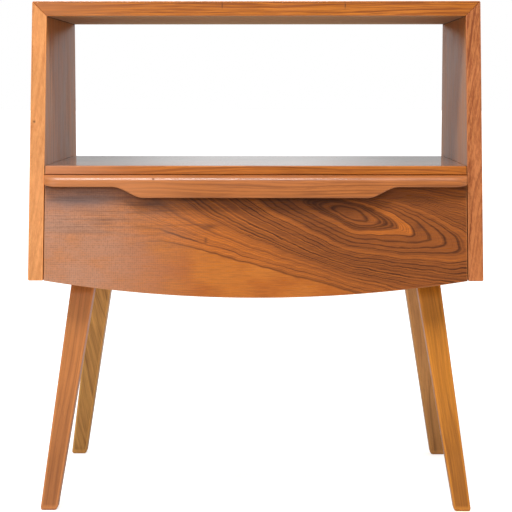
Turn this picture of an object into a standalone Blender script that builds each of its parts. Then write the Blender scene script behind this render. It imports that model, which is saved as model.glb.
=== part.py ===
"""Bedside table with an open compartment over one drawer, on four splayed legs.

Metres, +Z up, front towards -Y. The origin is on the floor, under the middle of the overall box.
Boards are drawn as outlines in X and Z and run from a front plane back to a rear plane, because the
front of the case leans: it is deeper at its foot than at its top.
"""
import math

import bmesh
import bpy
from mathutils import Vector

# Case
WIDTH = 0.500            # over the two sides
DEPTH_BOTTOM = 0.325     # case depth at the foot of the sides
DEPTH_TOP = 0.263        # case depth at the top
CASE_HEIGHT = 0.307      # foot of the sides to the top face
LEG_HEIGHT = 0.259       # floor to the foot of the sides
BOARD = 0.0165           # top and side thickness
LIPPING = 0.006          # solid edge glued on the front of top, sides and shelf
SHELF_RISE = 0.125       # foot of the sides to the shelf's top face
SHELF = 0.0095           # shelf thickness
SHELF_SETBACK = 0.033    # shelf's rear edge in from the sides' rear edges
BOTTOM = 0.012           # bottom panel thickness
BACK = 0.006             # back panel thickness
BACK_HOUSING = 0.005     # depth of the grooves that hold the back panel

# Loose tongues in the two mitres
TONGUE = 0.004
TONGUE_WIDTH = 0.012
TONGUE_END = 0.015       # the slot stops this far short of each edge

# Legs and the bearers that carry them
BEARER = 0.018
BEARER_WIDTH = 0.056
LEG_TOP = 0.0265         # square section at the bearer
LEG_FOOT = 0.0188        # square section at the floor
LEG_CORNER = 0.0022      # rounded arrises
FOOT_ROUND = 0.0025      # rounded rim of the foot
LEG_INSET_SIDE = 0.0582  # leg axis at the bearer, in from the side's outer face
LEG_EDGE_FRONT = 0.0105  # front bearer's front edge to the leg
LEG_EDGE_REAR = 0.002    # rear bearer's rear edge to the leg
SPLAY_SIDE = 0.0396      # how far the foot stands out from the leg's top, sideways
SPLAY_DEPTH = 0.031      # and towards the front or the rear

# Drawer
FRONT = 0.016            # drawer front thickness
FRONT_GAP = 0.0009       # gap beside and above the drawer front
BELLY = 0.0183           # drop of the front's curved lower edge below the sides
WALL = 0.012             # drawer side and back thickness
HEAD_CLEARANCE = 0.0095  # drawer side to shelf
SIDE_CLEARANCE = 0.0015  # drawer side to case side
BAY_CLEARANCE = 0.002    # drawer to bottom panel
FLOOR = 0.004            # drawer bottom thickness
FLOOR_RISE = 0.008       # drawer side's lower edge to the drawer bottom
FLOOR_HOUSING = 0.004    # depth of the grooves for the drawer bottom
BACK_DROP = 0.004        # drawer back below the drawer sides' upper edges
BACK_MARGIN = 0.008      # drawer back in from the drawer sides' rear ends
BACK_TENON = 0.004       # depth of the housings that hold the drawer back
STOP = 0.0095            # drawer stop thickness
STOP_GAP = 0.0005
STOP_HEIGHT = 0.016
RUNNER = 0.008           # runner thickness
RUNNER_HEIGHT = 0.012
RUNNER_CLEARANCE = 0.0005
RUNNER_FRONT_GAP = 0.012

# Pull
PULL_PROUD = 0.013       # how far it stands out from the drawer front
PULL_HEIGHT = 0.0122     # at its two ends
PULL_SWELL = 0.0118      # extra height in the middle
PULL_INNER = 0.123       # half length of the deep middle
PULL_OUTER = 0.157       # where the S-curve runs out
PULL_TOP_ROUND = 0.0065
PULL_LOW_ROUND = 0.0018
PULL_END_RISE = 0.0035   # the lower edge rises by this at the very end
PULL_END_RUN = 0.014
PULL_END_BACK = 0.004    # and the front face falls back by this
PULL_LIP = 0.0055        # wood left in front of the finger groove
GROOVE_MARGIN = 0.004    # groove stops this far inside the deep middle

# Fasteners
DOWEL_THIN = 0.0025      # radius of the dowels in the shelf and the drawer
DOWEL = 0.003            # radius of the dowels in the bottom panel and the legs
DOWEL_LENGTH = 0.024
DOWEL_DEPTH = 0.009      # how far a dowel stands in a side or in the drawer front
DOWEL_INSET = 0.040      # a dowel's distance from a board's front or rear edge
DOWEL_CHAMFER = 0.001
LEG_SCREW_DEPTH = 0.018  # screw in the leg
LEG_FASTENER_SPREAD = 0.17  # dowel and screw off the leg's axis, as a share of the leg's section
RUNNER_SCREW_INSET = 0.030
SCREW = 0.00175          # shank radius
SCREW_HEAD = 0.0036      # head radius
SCREW_HEAD_HEIGHT = 0.0022
SCREW_TIP = 0.003
SCREW_BITE = 0.6         # share of the last board's thickness that a screw enters

# Facets
SIDES = 12               # round each fastener
CORNER_STEPS = 3         # on each rounded corner of a leg
FOOT_STEPS = 2           # up the rounded rim of a foot
BELLY_STEPS = 24         # along the drawer front's curved edge
PULL_STEPS = 4           # round each arris of the pull
PULL_END_STATIONS = 5    # along each rounded end of the pull
PULL_CURVE_STATIONS = 10 # along each S-curve

FIT = 0.0003             # gap between pieces that touch
OVERCUT = 0.001          # how far a cutter runs past the face that it opens

SLANT = (DEPTH_BOTTOM - DEPTH_TOP) / CASE_HEIGHT
TOP_Z = LEG_HEIGHT + CASE_HEIGHT
INNER = WIDTH / 2 - BOARD
OVERALL_DEPTH = DEPTH_BOTTOM + SLANT * BELLY
REAR_Y = OVERALL_DEPTH / 2
SHELF_Z = LEG_HEIGHT + SHELF_RISE
SHELF_LOW = SHELF_Z - SHELF
BOTTOM_LOW = LEG_HEIGHT + BEARER + FIT
BOTTOM_Z = BOTTOM_LOW + BOTTOM
BACK_REAR = REAR_Y - SHELF_SETBACK
BACK_FRONT = BACK_REAR - BACK
DRAWER_LOW = BOTTOM_Z + BAY_CLEARANCE
DRAWER_HIGH = SHELF_LOW - HEAD_CLEARANCE
DRAWER_REAR = BACK_FRONT - FIT - STOP - STOP_GAP
DRAWER_X = INNER - SIDE_CLEARANCE
FLOOR_LOW = DRAWER_LOW + FLOOR_RISE
FRONT_X = INNER - FRONT_GAP
FRONT_HIGH = SHELF_LOW - FRONT_GAP
RUNNER_Z = (FLOOR_LOW + FLOOR + DRAWER_HIGH) / 2


def front_y(z):
    """Y of the leaning front plane at height z."""
    return REAR_Y - DEPTH_BOTTOM + SLANT * (z - LEG_HEIGHT)


def leaning(setback):
    """A plane parallel to the front, measured back from it."""
    return lambda z: front_y(z) + setback


def upright(y):
    """A plane across the table at one depth."""
    return lambda z: y


def clear_scene():
    for item in list(bpy.data.objects):
        bpy.data.objects.remove(item, do_unlink=True)


def finish(name, colour, roughness, metallic=0.0):
    made = bpy.data.materials.new(name)
    made.use_nodes = True
    shader = made.node_tree.nodes["Principled BSDF"]
    shader.inputs["Base Color"].default_value = (*colour, 1.0)
    shader.inputs["Roughness"].default_value = roughness
    shader.inputs["Metallic"].default_value = metallic
    return made


def mesh_object(name, mesh, made_of):
    """Turns a bmesh into a named object with its faces pointing out."""
    bmesh.ops.recalc_face_normals(mesh, faces=mesh.faces)
    data = bpy.data.meshes.new(name)
    mesh.to_mesh(data)
    mesh.free()
    if made_of:
        data.materials.append(made_of)
    placed = bpy.data.objects.new(name, data)
    bpy.context.scene.collection.objects.link(placed)
    return placed


def add_loft(mesh, rings):
    """Joins closed rings of equal length with quads and caps both ends."""
    rows = [[mesh.verts.new(point) for point in ring] for ring in rings]
    count = len(rows[0])
    for low, high in zip(rows, rows[1:]):
        for i in range(count):
            j = (i + 1) % count
            mesh.faces.new((low[i], low[j], high[j], high[i]))
    mesh.faces.new(rows[0])
    mesh.faces.new(rows[-1])


def loft(name, rings, made_of):
    mesh = bmesh.new()
    add_loft(mesh, rings)
    return mesh_object(name, mesh, made_of)


def board(name, outline, front, rear, made_of):
    """A board with an outline in X and Z, from its front plane back to its rear plane."""
    rings = [[(x, plane(z), z) for x, z in outline] for plane in (front, rear)]
    return loft(name, rings, made_of)


def rectangle(left, right, low, high):
    return [(left, low), (right, low), (right, high), (left, high)]


def mirrored(outline, side):
    """The outline of a right-hand piece (side 1), or its left-hand copy (side -1)."""
    return [(side * x, z) for x, z in outline]


def side_name(stem, side):
    return stem + ("_right" if side > 0 else "_left")


def cut(target, cutter):
    """Takes the cutter's shape out of the target."""
    cutter.hide_render = True
    cutter.display_type = "WIRE"
    removal = target.modifiers.new(cutter.name, "BOOLEAN")
    removal.operation = "DIFFERENCE"
    removal.object = cutter


def add_turned(mesh, profile, seat, aim):
    """A solid turned about the line from seat along aim; profile pairs are (distance, radius)."""
    aim = Vector(aim)
    across = aim.orthogonal().normalized()
    over = aim.cross(across)
    angles = [2 * math.pi * i / SIDES for i in range(SIDES)]
    spokes = [across * math.cos(angle) + over * math.sin(angle) for angle in angles]
    add_loft(mesh, [[Vector(seat) + aim * run + spoke * radius for spoke in spokes]
                    for run, radius in profile])


def dowel_profile(radius):
    neck = radius - DOWEL_CHAMFER / 2
    return [(0, neck), (DOWEL_CHAMFER, radius), (DOWEL_LENGTH - DOWEL_CHAMFER, radius),
            (DOWEL_LENGTH, neck)]


def screw_profile(length):
    return [(0, SCREW_HEAD), (SCREW_HEAD_HEIGHT, SCREW), (length - SCREW_TIP, SCREW),
            (length, SCREW / 3)]


def dowel_hole(radius):
    return [(-FIT, radius + FIT), (DOWEL_LENGTH + FIT, radius + FIT)]


def screw_hole(length):
    """A countersunk hole, open at the head, one fit wider than the screw all round."""
    return [(-OVERCUT, SCREW_HEAD + FIT), (FIT, SCREW_HEAD + FIT), (SCREW_HEAD_HEIGHT + FIT, SCREW + FIT),
            (length + FIT, SCREW + FIT)]


def fasten(name, profile, hole, seats, boards, made_of):
    """Like fasteners and their holes. Each seat has the end of its name, a start point and an aim."""
    cutters = bmesh.new()
    for place, seat, aim in seats:
        fastener = bmesh.new()
        add_turned(fastener, profile, seat, aim)
        mesh_object(f"{name}_{place}", fastener, made_of)
        add_turned(cutters, hole, seat, aim)
    cutter = mesh_object("cutter_" + name, cutters, None)
    for target in boards:
        cut(target, cutter)


def corner_seats(half_width, front, rear, height):
    """Four level seats that aim inwards from the sides, near the front and near the rear."""
    return [(side_name(place, hand), (hand * half_width, y, height), (-hand, 0, 0))
            for place, y in (("front", front), ("rear", rear)) for hand in (-1, 1)]


def case_outlines():
    """Front-view outlines of the right-hand side and of the top, mitred into each other."""
    side = [(INNER, LEG_HEIGHT), (WIDTH / 2, LEG_HEIGHT), (WIDTH / 2, TOP_Z - FIT),
            (INNER, TOP_Z - BOARD - FIT)]
    top = [(INNER, TOP_Z - BOARD), (WIDTH / 2, TOP_Z), (-WIDTH / 2, TOP_Z), (-INNER, TOP_Z - BOARD)]
    return side, top


def make_case(wood, edging):
    """Top, sides and their mitred front lippings."""
    side, top = case_outlines()
    made = {"top": board("top_panel", top, leaning(LIPPING), upright(REAR_Y), wood)}
    board("top_lipping", top, leaning(0), leaning(LIPPING - FIT), edging)
    for hand in (-1, 1):
        outline = mirrored(side, hand)
        made[hand] = board(side_name("side_panel", hand), outline, leaning(LIPPING), upright(REAR_Y), wood)
        board(side_name("side_lipping", hand), outline, leaning(0), leaning(LIPPING - FIT), edging)
    return made


def make_mitre_tongues(case, plywood):
    """A plywood tongue lies square across each mitre and stops short of both edges."""
    front = front_y(TOP_Z) + LIPPING + TONGUE_END
    rear = REAR_Y - TONGUE_END
    middle_x = WIDTH / 2 - BOARD / 2
    middle_z = TOP_Z - BOARD / 2
    diagonal = math.sqrt(0.5)
    for hand in (-1, 1):
        def outline(grow):
            along = (TONGUE_WIDTH / 2 + grow) * diagonal
            across = (TONGUE / 2 + grow) * diagonal
            corners = [(-along + across, along + across), (-along - across, along - across),
                       (along - across, -along - across), (along + across, -along + across)]
            return mirrored([(middle_x + x, middle_z + z) for x, z in corners], hand)
        name = side_name("mitre_tongue", hand)
        board(name, outline(0), upright(front), upright(rear), plywood)
        slot = board("cutter_" + name, outline(FIT), upright(front - FIT), upright(rear + FIT), None)
        cut(case["top"], slot)
        cut(case[hand], slot)


def make_shelf(case, wood, edging, beech):
    """The compartment's floor, doweled between the sides."""
    outline = rectangle(-INNER + FIT, INNER - FIT, SHELF_LOW, SHELF_Z)
    shelf = board("shelf", outline, leaning(LIPPING), upright(BACK_REAR), wood)
    board("shelf_lipping", outline, leaning(0), leaning(LIPPING - FIT), edging)
    height = SHELF_Z - SHELF / 2
    seats = corner_seats(INNER + DOWEL_DEPTH, front_y(height) + DOWEL_INSET, BACK_REAR - DOWEL_INSET,
                         height)
    fasten("shelf_dowel", dowel_profile(DOWEL_THIN), dowel_hole(DOWEL_THIN), seats,
           (shelf, case[-1], case[1]), beech)


def make_bay(case, plywood, beech):
    """Bottom and back of the drawer bay. The back stands in grooves in the sides."""
    front = front_y(BOTTOM_Z) + FRONT + 2 * FRONT_GAP
    bottom = board("bottom_panel", rectangle(-INNER + FIT, INNER - FIT, BOTTOM_LOW, BOTTOM_Z),
                   upright(front), upright(BACK_FRONT - FIT), plywood)
    height = BOTTOM_LOW + BOTTOM / 2
    seats = corner_seats(INNER + DOWEL_DEPTH, front + DOWEL_INSET, BACK_FRONT - DOWEL_INSET, height)
    fasten("bottom_dowel", dowel_profile(DOWEL), dowel_hole(DOWEL), seats,
           (bottom, case[-1], case[1]), beech)

    reach = INNER + BACK_HOUSING
    board("back_panel", rectangle(-reach + FIT, reach - FIT, BOTTOM_LOW, SHELF_LOW - FIT),
          upright(BACK_FRONT), upright(BACK_REAR), plywood)
    for hand in (-1, 1):
        groove = mirrored(rectangle(INNER - OVERCUT, reach, BOTTOM_LOW - FIT, SHELF_LOW), hand)
        cut(case[hand], board(side_name("cutter_back_groove", hand), groove,
                              upright(BACK_FRONT - FIT), upright(BACK_REAR + FIT), None))
    return bottom


def bearer_span(end):
    """Front and rear of a bearer: one clears the drawer front, the other ends flush with the back."""
    if end > 0:
        return BACK_REAR - BEARER_WIDTH, BACK_REAR
    front = front_y(LEG_HEIGHT + BEARER) + FRONT + 2 * FRONT_GAP
    return front, front + BEARER_WIDTH


def leg_axis(side, end):
    """Where a leg's axis meets the bearer and the floor; side is 1 right, end is 1 rear."""
    top_x = WIDTH / 2 - LEG_INSET_SIDE
    front, rear = bearer_span(end)
    if end > 0:
        top_y = rear - LEG_EDGE_REAR - LEG_TOP / 2
    else:
        top_y = front + LEG_EDGE_FRONT + LEG_TOP / 2
    top = Vector((side * top_x, top_y, LEG_HEIGHT - FIT))
    foot = Vector((side * (top_x + SPLAY_SIDE), top_y + end * SPLAY_DEPTH, 0))
    return top, foot


def leg_ring(centre, size, inset):
    """A level square section with rounded corners, drawn in by inset all round."""
    radius = LEG_CORNER
    reach = size / 2 - inset - radius
    ring = []
    for quarter in range(4):
        start = quarter * math.pi / 2
        corner_x = reach * (1 if quarter in (0, 3) else -1)
        corner_y = reach * (1 if quarter in (0, 1) else -1)
        for step in range(CORNER_STEPS + 1):
            angle = start + step * math.pi / 2 / CORNER_STEPS
            ring.append((centre.x + corner_x + radius * math.cos(angle),
                         centre.y + corner_y + radius * math.sin(angle), centre.z))
    return ring


def make_leg(name, side, end, wood):
    top, foot = leg_axis(side, end)
    rings = []
    for step in range(FOOT_STEPS + 1):
        angle = step * math.pi / 2 / FOOT_STEPS
        lift = FOOT_ROUND * (1 - math.cos(angle)) / top.z
        rings.append(leg_ring(foot.lerp(top, lift), LEG_FOOT + (LEG_TOP - LEG_FOOT) * lift,
                              FOOT_ROUND * (1 - math.sin(angle))))
    rings.append(leg_ring(top, LEG_TOP, 0))
    return loft(name, rings, wood)


def make_legs(bottom, wood, beech, steel):
    """Two cross bearers under the bottom panel, each with a doweled and screwed leg at either end."""
    leg_screw = BEARER + LEG_SCREW_DEPTH
    bearer_screw = BEARER + FIT + BOTTOM * SCREW_BITE
    for end, place in ((-1, "front"), (1, "rear")):
        front, rear = bearer_span(end)
        outline = rectangle(-INNER + FIT, INNER - FIT, LEG_HEIGHT, LEG_HEIGHT + BEARER)
        bearer = board("bearer_" + place, outline, upright(front), upright(rear), beech)
        legs = []
        dowel_seats = []
        screw_seats = []
        bearer_seats = []
        for side in (-1, 1):
            leg = make_leg(side_name("leg_" + place, side), side, end, wood)
            legs.append(leg)
            top = leg_axis(side, end)[0]
            inward = LEG_TOP * LEG_FASTENER_SPREAD
            dowel_place = (top.x - side * inward, top.y - end * inward, top.z - DOWEL_LENGTH / 2)
            dowel_seats.append((side_name(place, side), dowel_place, (0, 0, 1)))
            screw_place = (top.x + side * inward, top.y + end * inward, LEG_HEIGHT + BEARER)
            screw_seats.append((side_name(place, side), screw_place, (0, 0, -1)))
            bearer_place = (side * INNER / 2, (front + rear) / 2, LEG_HEIGHT)
            bearer_seats.append((side_name(place, side), bearer_place, (0, 0, 1)))
        fasten("leg_dowel", dowel_profile(DOWEL), dowel_hole(DOWEL), dowel_seats, (bearer, *legs), beech)
        fasten("leg_screw", screw_profile(leg_screw), screw_hole(leg_screw), screw_seats,
               (bearer, *legs), steel)
        fasten("bearer_screw", screw_profile(bearer_screw), screw_hole(bearer_screw), bearer_seats,
               (bearer, bottom), steel)


def make_runners(case, beech, steel):
    """Hardwood strips screwed to the sides, which the drawer sides' grooves hang on."""
    front = front_y(RUNNER_Z) + FRONT + RUNNER_FRONT_GAP
    rear = BACK_FRONT - FIT
    low = RUNNER_Z - RUNNER_HEIGHT / 2
    high = RUNNER_Z + RUNNER_HEIGHT / 2
    runners = []
    seats = []
    for hand in (-1, 1):
        outline = mirrored(rectangle(INNER - RUNNER, INNER - FIT, low, high), hand)
        runners.append(board(side_name("runner", hand), outline, upright(front), upright(rear), beech))
        for place, y in (("front", front + RUNNER_SCREW_INSET), ("rear", rear - RUNNER_SCREW_INSET)):
            seats.append((side_name(place, hand), (hand * (INNER - RUNNER), y, RUNNER_Z), (hand, 0, 0)))
    length = RUNNER + BOARD * SCREW_BITE
    fasten("runner_screw", screw_profile(length), screw_hole(length), seats,
           (*runners, case[-1], case[1]), steel)


def make_stops(beech):
    """Two blocks on the back panel that the closed drawer's sides meet."""
    low = DRAWER_LOW + FLOOR_RISE
    for hand in (-1, 1):
        outline = mirrored(rectangle(DRAWER_X - WALL, DRAWER_X, low, low + STOP_HEIGHT), hand)
        board(side_name("drawer_stop", hand), outline, upright(BACK_FRONT - FIT - STOP),
              upright(BACK_FRONT - FIT), beech)


def front_outline():
    """The drawer front seen square on: straight above, a long circular arc below."""
    radius = (FRONT_X ** 2 + BELLY ** 2) / (2 * BELLY)
    sweep = math.asin(FRONT_X / radius)
    angles = [sweep * (2 * i / BELLY_STEPS - 1) for i in range(BELLY_STEPS + 1)]
    arc = [(radius * math.sin(angle), LEG_HEIGHT - BELLY + radius * (1 - math.cos(angle)))
           for angle in angles]
    return arc + [(FRONT_X, FRONT_HIGH), (-FRONT_X, FRONT_HIGH)]


def smooth(share):
    """An S-curve from 0 to 1, level at both ends."""
    share = min(max(share, 0.0), 1.0)
    return share * share * (3 - 2 * share)


def end_round(x):
    """0 along the pull, rising on a quarter ellipse to 1 at its very end."""
    share = max(abs(x) - (FRONT_X - PULL_END_RUN), 0) / PULL_END_RUN
    return 1 - math.sqrt(max(1 - share * share, 0))


def pull_ring(x):
    """Section of the pull at x, in Y and Z: rounded over at the top, eased at the lower edge."""
    swell = smooth((PULL_OUTER - abs(x)) / (PULL_OUTER - PULL_INNER))
    low = FRONT_HIGH - PULL_HEIGHT - PULL_SWELL * swell + PULL_END_RISE * end_round(x)
    proud = PULL_PROUD - PULL_END_BACK * end_round(x)
    section = [(FIT, low), (FIT, FRONT_HIGH)]
    for radius, height, start in ((PULL_TOP_ROUND, FRONT_HIGH - PULL_TOP_ROUND, math.pi / 2),
                                  (PULL_LOW_ROUND, low + PULL_LOW_ROUND, 0)):
        for step in range(PULL_STEPS + 1):
            angle = start - step * math.pi / 2 / PULL_STEPS
            section.append((proud - radius + radius * math.cos(angle), height + radius * math.sin(angle)))
    return [(x, front_y(z) - out, z) for out, z in section]


def make_pull(wood):
    """A sculpted strip, deep in the middle, with a finger groove behind the deep part."""
    half = [FRONT_X - PULL_END_RUN * (1 - math.sin(math.pi / 2 * i / PULL_END_STATIONS))
            for i in range(PULL_END_STATIONS, -1, -1)]
    half += [PULL_OUTER + (PULL_INNER - PULL_OUTER) * i / PULL_CURVE_STATIONS
             for i in range(PULL_CURVE_STATIONS + 1)]
    stations = half + [-x for x in reversed(half)]
    pull = loft("drawer_pull", [pull_ring(x) for x in stations], wood)
    reach = PULL_INNER - GROOVE_MARGIN
    high = FRONT_HIGH - PULL_HEIGHT
    low = high - PULL_SWELL - OVERCUT
    cut(pull, board("cutter_finger_groove", rectangle(-reach, reach, low, high),
                    leaning(PULL_LIP - PULL_PROUD), leaning(OVERCUT), None))
    return pull


def make_drawer(wood, pull_wood, beech, plywood, steel):
    """Front, pull and box. The sides' front ends are cut to the slant of the front."""
    front = board("drawer_front", front_outline(), leaning(0), leaning(FRONT), wood)
    pull = make_pull(pull_wood)
    pull_screw = FRONT + PULL_PROUD * SCREW_BITE
    height = FRONT_HIGH - PULL_HEIGHT / 2
    screw_x = (PULL_OUTER + FRONT_X) / 2
    seats = [(place, (side * screw_x, front_y(height) + FRONT, height), (0, -1, 0))
             for place, side in (("left", -1), ("right", 1))]
    fasten("pull_screw", screw_profile(pull_screw), screw_hole(pull_screw), seats, (front, pull), steel)

    groove_low = FLOOR_LOW - FIT
    groove_high = FLOOR_LOW + FLOOR + FIT
    box_x = DRAWER_X - WALL
    floor_x = box_x + FLOOR_HOUSING
    walls = {}
    for hand in (-1, 1):
        outline = mirrored(rectangle(box_x, DRAWER_X, DRAWER_LOW, DRAWER_HIGH), hand)
        walls[hand] = board(side_name("drawer_side", hand), outline, leaning(FRONT + FIT),
                            upright(DRAWER_REAR), beech)
        slide = mirrored(rectangle(INNER - RUNNER - RUNNER_CLEARANCE, DRAWER_X + OVERCUT,
                                   RUNNER_Z - RUNNER_HEIGHT / 2 - RUNNER_CLEARANCE,
                                   RUNNER_Z + RUNNER_HEIGHT / 2 + RUNNER_CLEARANCE), hand)
        cut(walls[hand], board(side_name("cutter_runner_groove", hand), slide, leaning(FRONT - OVERCUT),
                               upright(DRAWER_REAR + OVERCUT), None))
    groove = board("cutter_floor_groove", rectangle(-floor_x, floor_x, groove_low, groove_high),
                   leaning(FRONT - FLOOR_HOUSING), upright(DRAWER_REAR + OVERCUT), None)
    for target in (front, *walls.values()):
        cut(target, groove)
    board("drawer_bottom", rectangle(-floor_x + FIT, floor_x - FIT, FLOOR_LOW, FLOOR_LOW + FLOOR),
          leaning(FRONT - FLOOR_HOUSING + FIT), upright(DRAWER_REAR), plywood)

    back_front = DRAWER_REAR - BACK_MARGIN - WALL
    back_rear = DRAWER_REAR - BACK_MARGIN
    back_x = box_x + BACK_TENON
    board("drawer_back", rectangle(-back_x + FIT, back_x - FIT, groove_high, DRAWER_HIGH - BACK_DROP),
          upright(back_front), upright(back_rear), beech)
    housing = board("cutter_back_housing", rectangle(-back_x, back_x, groove_low, DRAWER_HIGH + OVERCUT),
                    upright(back_front - FIT), upright(back_rear + FIT), None)
    for wall in walls.values():
        cut(wall, housing)

    middle = DRAWER_X - WALL / 2
    heights = (("low", (groove_high + RUNNER_Z - RUNNER_HEIGHT / 2) / 2),
               ("high", (RUNNER_Z + RUNNER_HEIGHT / 2 + DRAWER_HIGH) / 2))
    seats = [(side_name(place, hand), (hand * middle, front_y(z) + FRONT - DOWEL_DEPTH, z), (0, 1, 0))
             for place, z in heights for hand in (-1, 1)]
    fasten("drawer_front_dowel", dowel_profile(DOWEL_THIN), dowel_hole(DOWEL_THIN), seats,
           (front, *walls.values()), beech)


def build():
    clear_scene()
    walnut = finish("case_walnut", (0.42, 0.22, 0.11), 0.42)
    edging = finish("edge_walnut", (0.58, 0.30, 0.13), 0.38)
    figured = finish("figured_walnut", (0.40, 0.18, 0.08), 0.36)
    leg_wood = finish("leg_walnut", (0.52, 0.27, 0.11), 0.42)
    beech = finish("beech", (0.68, 0.52, 0.36), 0.55)
    plywood = finish("plywood", (0.62, 0.47, 0.31), 0.60)
    steel = finish("zinc_steel", (0.70, 0.70, 0.68), 0.35, 1.0)

    case = make_case(walnut, edging)
    make_mitre_tongues(case, plywood)
    make_shelf(case, walnut, edging, beech)
    bottom = make_bay(case, plywood, beech)
    make_legs(bottom, leg_wood, beech, steel)
    make_runners(case, beech, steel)
    make_stops(beech)
    make_drawer(figured, edging, beech, plywood, steel)


build()
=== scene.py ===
"""Bedside table with an open compartment over one drawer, on four splayed legs.

Solid walnut: a mitred case with edged boards, a polished shelf, a figured drawer front under a
sculpted pull, and tapered legs on hidden beech bearers. Metres, +Z up, the front towards -Y.
The sections follow the table as it is put together.
"""
import math

import bmesh
import bpy
import numpy as np
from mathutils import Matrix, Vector


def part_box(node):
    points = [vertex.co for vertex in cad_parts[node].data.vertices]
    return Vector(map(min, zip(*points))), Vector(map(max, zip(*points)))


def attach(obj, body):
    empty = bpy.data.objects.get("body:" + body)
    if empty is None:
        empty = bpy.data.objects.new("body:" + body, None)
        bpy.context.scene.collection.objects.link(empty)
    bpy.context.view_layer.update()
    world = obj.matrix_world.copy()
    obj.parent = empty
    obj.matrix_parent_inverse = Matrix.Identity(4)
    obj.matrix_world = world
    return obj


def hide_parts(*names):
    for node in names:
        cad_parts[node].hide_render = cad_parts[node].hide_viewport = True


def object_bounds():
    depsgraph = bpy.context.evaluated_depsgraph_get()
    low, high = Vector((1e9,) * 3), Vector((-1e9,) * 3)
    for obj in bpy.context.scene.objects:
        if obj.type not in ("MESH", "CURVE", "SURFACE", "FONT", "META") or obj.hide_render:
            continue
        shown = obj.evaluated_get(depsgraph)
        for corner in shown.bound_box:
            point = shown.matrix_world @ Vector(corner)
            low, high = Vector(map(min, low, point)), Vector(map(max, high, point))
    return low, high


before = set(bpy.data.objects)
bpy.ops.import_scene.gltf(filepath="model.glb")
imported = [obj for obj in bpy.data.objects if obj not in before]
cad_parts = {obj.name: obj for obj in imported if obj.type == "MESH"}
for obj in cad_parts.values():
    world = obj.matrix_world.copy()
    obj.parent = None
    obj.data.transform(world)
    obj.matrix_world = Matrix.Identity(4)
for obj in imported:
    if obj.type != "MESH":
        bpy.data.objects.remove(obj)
cad_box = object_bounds()


# ---- Top board -----------------------------------------------------------
# A solid walnut board, mitred at both ends into the sides and glued over a loose tongue. Its
# visible arrises are taken off by hand with fine paper, and the whole case is lacquered.
side_low, side_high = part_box("side_panel_right")
foot_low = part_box("side_lipping_right")[0]
lip_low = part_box("top_lipping")[0]
top_low, top_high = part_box("top_panel")

INNER = side_low.x                  # half the width between the sides
OUTER = side_high.x                 # half the width over them
FOOT = side_low.z                   # where the sides end, above the legs
TOP = top_high.z
BOARD = TOP - top_low.z
REAR = top_high.y
LEAN = (lip_low.y - foot_low.y) / (lip_low.z - foot_low.z)  # how far the front falls back per metre
LIPPING = 0.006                     # the solid edging on the front of every case board
JOINT = 0.0003                      # glue line between an edging and its board
CORNER = 0.0014                     # the case's two upper corners, rounded after the mitres are glued
ARRIS = 0.0007                      # rounding of the boards' arrises
HAIR = 0.00015                      # arris at a glued joint, where it shows only as a line
MARGIN = 0.0004                     # flat strip beside each arris that keeps the faces flat in shading
ARC_STEPS = 4                       # facets round an arris
MITRE_SHARE = 0.45                  # part of an inset by which a mitred end is drawn in
CORNER_SHADE_HALF = 0.0009                       # half width of a painted shade line along an inside corner where boards meet
CORNER_SHADE_REACH = 0.003                  # how far that painted shade reaches into the boards that meet there
ACROSS, BACK, UP = (1, 0, 0), (0, 1, 0), (0, 0, 1)  # ways that the grain can run


def front_y(z):
    """Y of the leaning front plane at height z: a straight line from the sides' feet to the top."""
    return foot_low.y + LEAN * (z - foot_low.z)


def leaning(setback):
    """A plane parallel to the front, measured back from it."""
    return lambda z: front_y(z) + setback


def upright(y):
    """A plane across the table at one depth."""
    return lambda z: np.full_like(z, y)


def rounded(corners, radii, shares, inset):
    """A convex outline, counter-clockwise, as points with a flag that is 1 on its turned corners.

    Each edge is drawn in by the inset times its own share, and neighbouring edges are met again by
    solving for the crossing of their two lines. A corner with a radius is turned on the arc that
    touches both edges, whose points are centre - radius * normal, the normal swinging from the
    first edge's to the second's. A flat strip MARGIN wide lies on either side of the arc.
    """
    corners = np.array(corners, float)
    along = np.roll(corners, -1, 0) - corners
    along /= np.linalg.norm(along, axis=1)[:, None]
    inward = np.stack([-along[:, 1], along[:, 0]], 1)
    pairs = np.stack([np.roll(inward, 1, 0), inward], 1)
    draws = inset * np.stack([np.roll(shares, 1), shares], 1)
    moved = corners + np.linalg.solve(pairs, draws[..., None])[..., 0]
    points, turned = [], []
    for i, (corner, radius) in enumerate(zip(moved, radii)):
        first, second = pairs[i]
        if radius == 0:
            points.append(corner[None])
            turned.append([0.0])
            continue
        radius = max(radius - inset, HAIR)
        turn = math.acos(np.clip(first @ second, -1, 1))
        angles = np.linspace(0, turn, ARC_STEPS + 1)[:, None]
        normals = (first * np.sin(turn - angles) + second * np.sin(angles)) / math.sin(turn)
        centre = corner + (first + second) * radius / (1 + math.cos(turn))
        arc = centre - radius * normals
        points += [arc[:1] - MARGIN * along[i - 1], arc, arc[-1:] + MARGIN * along[i]]
        turned += [[0.0], [1.0] * len(arc), [0.0]]
    return np.concatenate(points), np.concatenate(turned)


def eased(radius):
    """Insets, setbacks and flags from an end face round its arris: a quarter circle and two margins."""
    angles = np.linspace(0, math.pi / 2, ARC_STEPS + 1)
    insets = np.concatenate([[radius + MARGIN], radius * (1 - np.sin(angles)), [0]])
    setbacks = np.concatenate([[0], radius * (1 - np.cos(angles)), [radius + MARGIN]])
    flags = np.concatenate([[0], np.ones(ARC_STEPS + 1), [0]])
    return insets, setbacks, flags


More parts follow.
